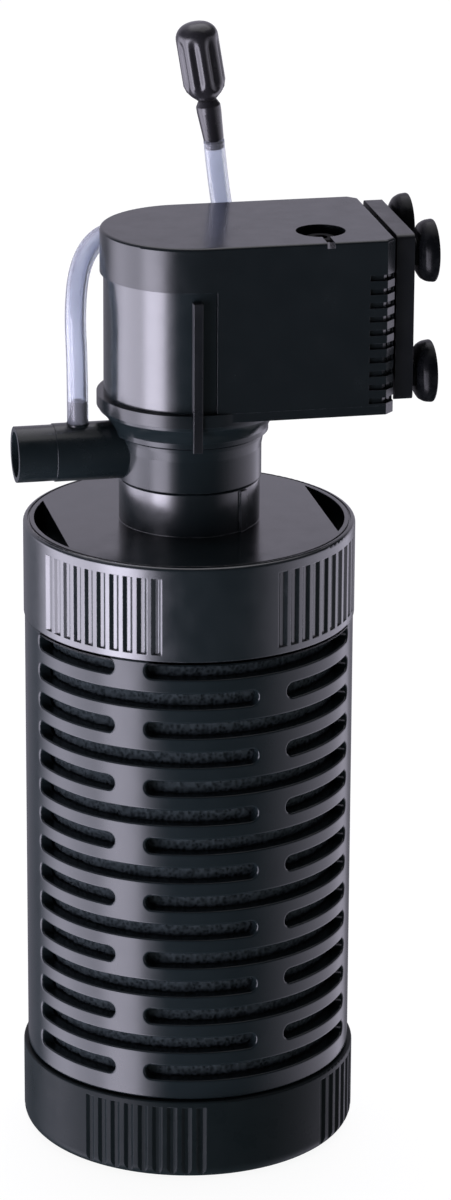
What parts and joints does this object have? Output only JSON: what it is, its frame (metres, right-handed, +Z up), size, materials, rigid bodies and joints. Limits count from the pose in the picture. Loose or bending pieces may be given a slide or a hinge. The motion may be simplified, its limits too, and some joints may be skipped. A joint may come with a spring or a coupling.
{
  "type": "canister filter",
  "caption": "Submersible canister filter: slotted sponge canister, swivelling pump head with side outlet, air line with regulator, suction-cup bracket.",
  "frame": {"origin": "centre of the base cap's bottom face, on the canister's axis", "axes": "+Z up the canister's axis; +X along the pump head towards its suction cups; the outlet points to -X"},
  "size_m": [0.1168, 0.1085, 0.3228],
  "materials": {
    "black_gloss": "gloss moulded",
    "black_satin": "satin moulded",
    "sponge": "open-cell foam",
    "seal_rubber": "matt",
    "cup_rubber": "soft satin",
    "clear_tube": "clear",
    "valve_grey": "semi-gloss",
    "shaft_ceramic": "polished",
    "core_steel": "laminated",
    "bobbin_white": "satin",
    "coil_copper": "enamelled wire",
    "magnet": "ground ferrite"
  },
  "bodies": {
    "canister": {"filter_basket": "black_gloss", "filter_sponge": "sponge", "core_tube": "black_satin"},
    "base": {"base_cap": "black_gloss"},
    "lid": {"top_lid": "black_gloss"},
    "pump_head": {"pump_chamber": "black_gloss", "outlet_nozzle": "black_gloss", "air_nipple": "black_satin", "neck_oring": "seal_rubber", "impeller_cover": "black_satin", "shaft_bush_lower": "seal_rubber", "shaft_bush_upper": "seal_rubber", "impeller_shaft": "shaft_ceramic", "rotor_well": "black_satin", "pump_housing": "black_gloss", "motor_barrel": "black_gloss", "motor_base_plate": "black_gloss", "side_clip_front": "black_satin", "side_clip_back": "black_satin", "stator_core": "core_steel", "coil_bobbin": "bobbin_white", "stator_coil": "coil_copper", "cord_gland": "seal_rubber", "air_tube": "clear_tube", "regulator_stem": "valve_grey"},
    "rotor": {"impeller": "black_satin", "rotor_magnet": "magnet"},
    "bracket": {"bracket_plate": "black_satin", "suction_cup_lower_front": "cup_rubber", "suction_cup_lower_back": "cup_rubber", "suction_cup_upper_front": "cup_rubber", "suction_cup_upper_back": "cup_rubber"},
    "regulator": {"regulator_knob": "valve_grey"}
  },
  "joints": [
    {"name": "base_twist", "type": "hinge", "parent": "canister", "child": "base", "pos_m": [0, 0, 0], "axis": [0, 0, 1], "range_deg": [0, 18]},
    {"name": "lid_twist", "type": "hinge", "parent": "canister", "child": "lid", "pos_m": [0, 0, 0.186], "axis": [0, 0, 1], "range_deg": [0, 18]},
    {"name": "head_swivel", "type": "hinge", "parent": "lid", "child": "pump_head", "pos_m": [0, 0, 0.199], "axis": [0, 0, 1], "continuous": true},
    {"name": "impeller_spin", "type": "hinge", "parent": "pump_head", "child": "rotor", "pos_m": [0, 0, 0.22], "axis": [0, 0, 1], "continuous": true},
    {"name": "bracket_slide", "type": "slide", "parent": "pump_head", "child": "bracket", "axis": [0, 0, 1], "range_m": [0, 0.05]},
    {"name": "regulator_turn", "type": "hinge", "parent": "pump_head", "child": "regulator", "pos_m": [0.0129, 0.03, 0.2883], "axis": [-0.165, 0, 0.9863], "range_deg": [0, 270]}
  ]
}
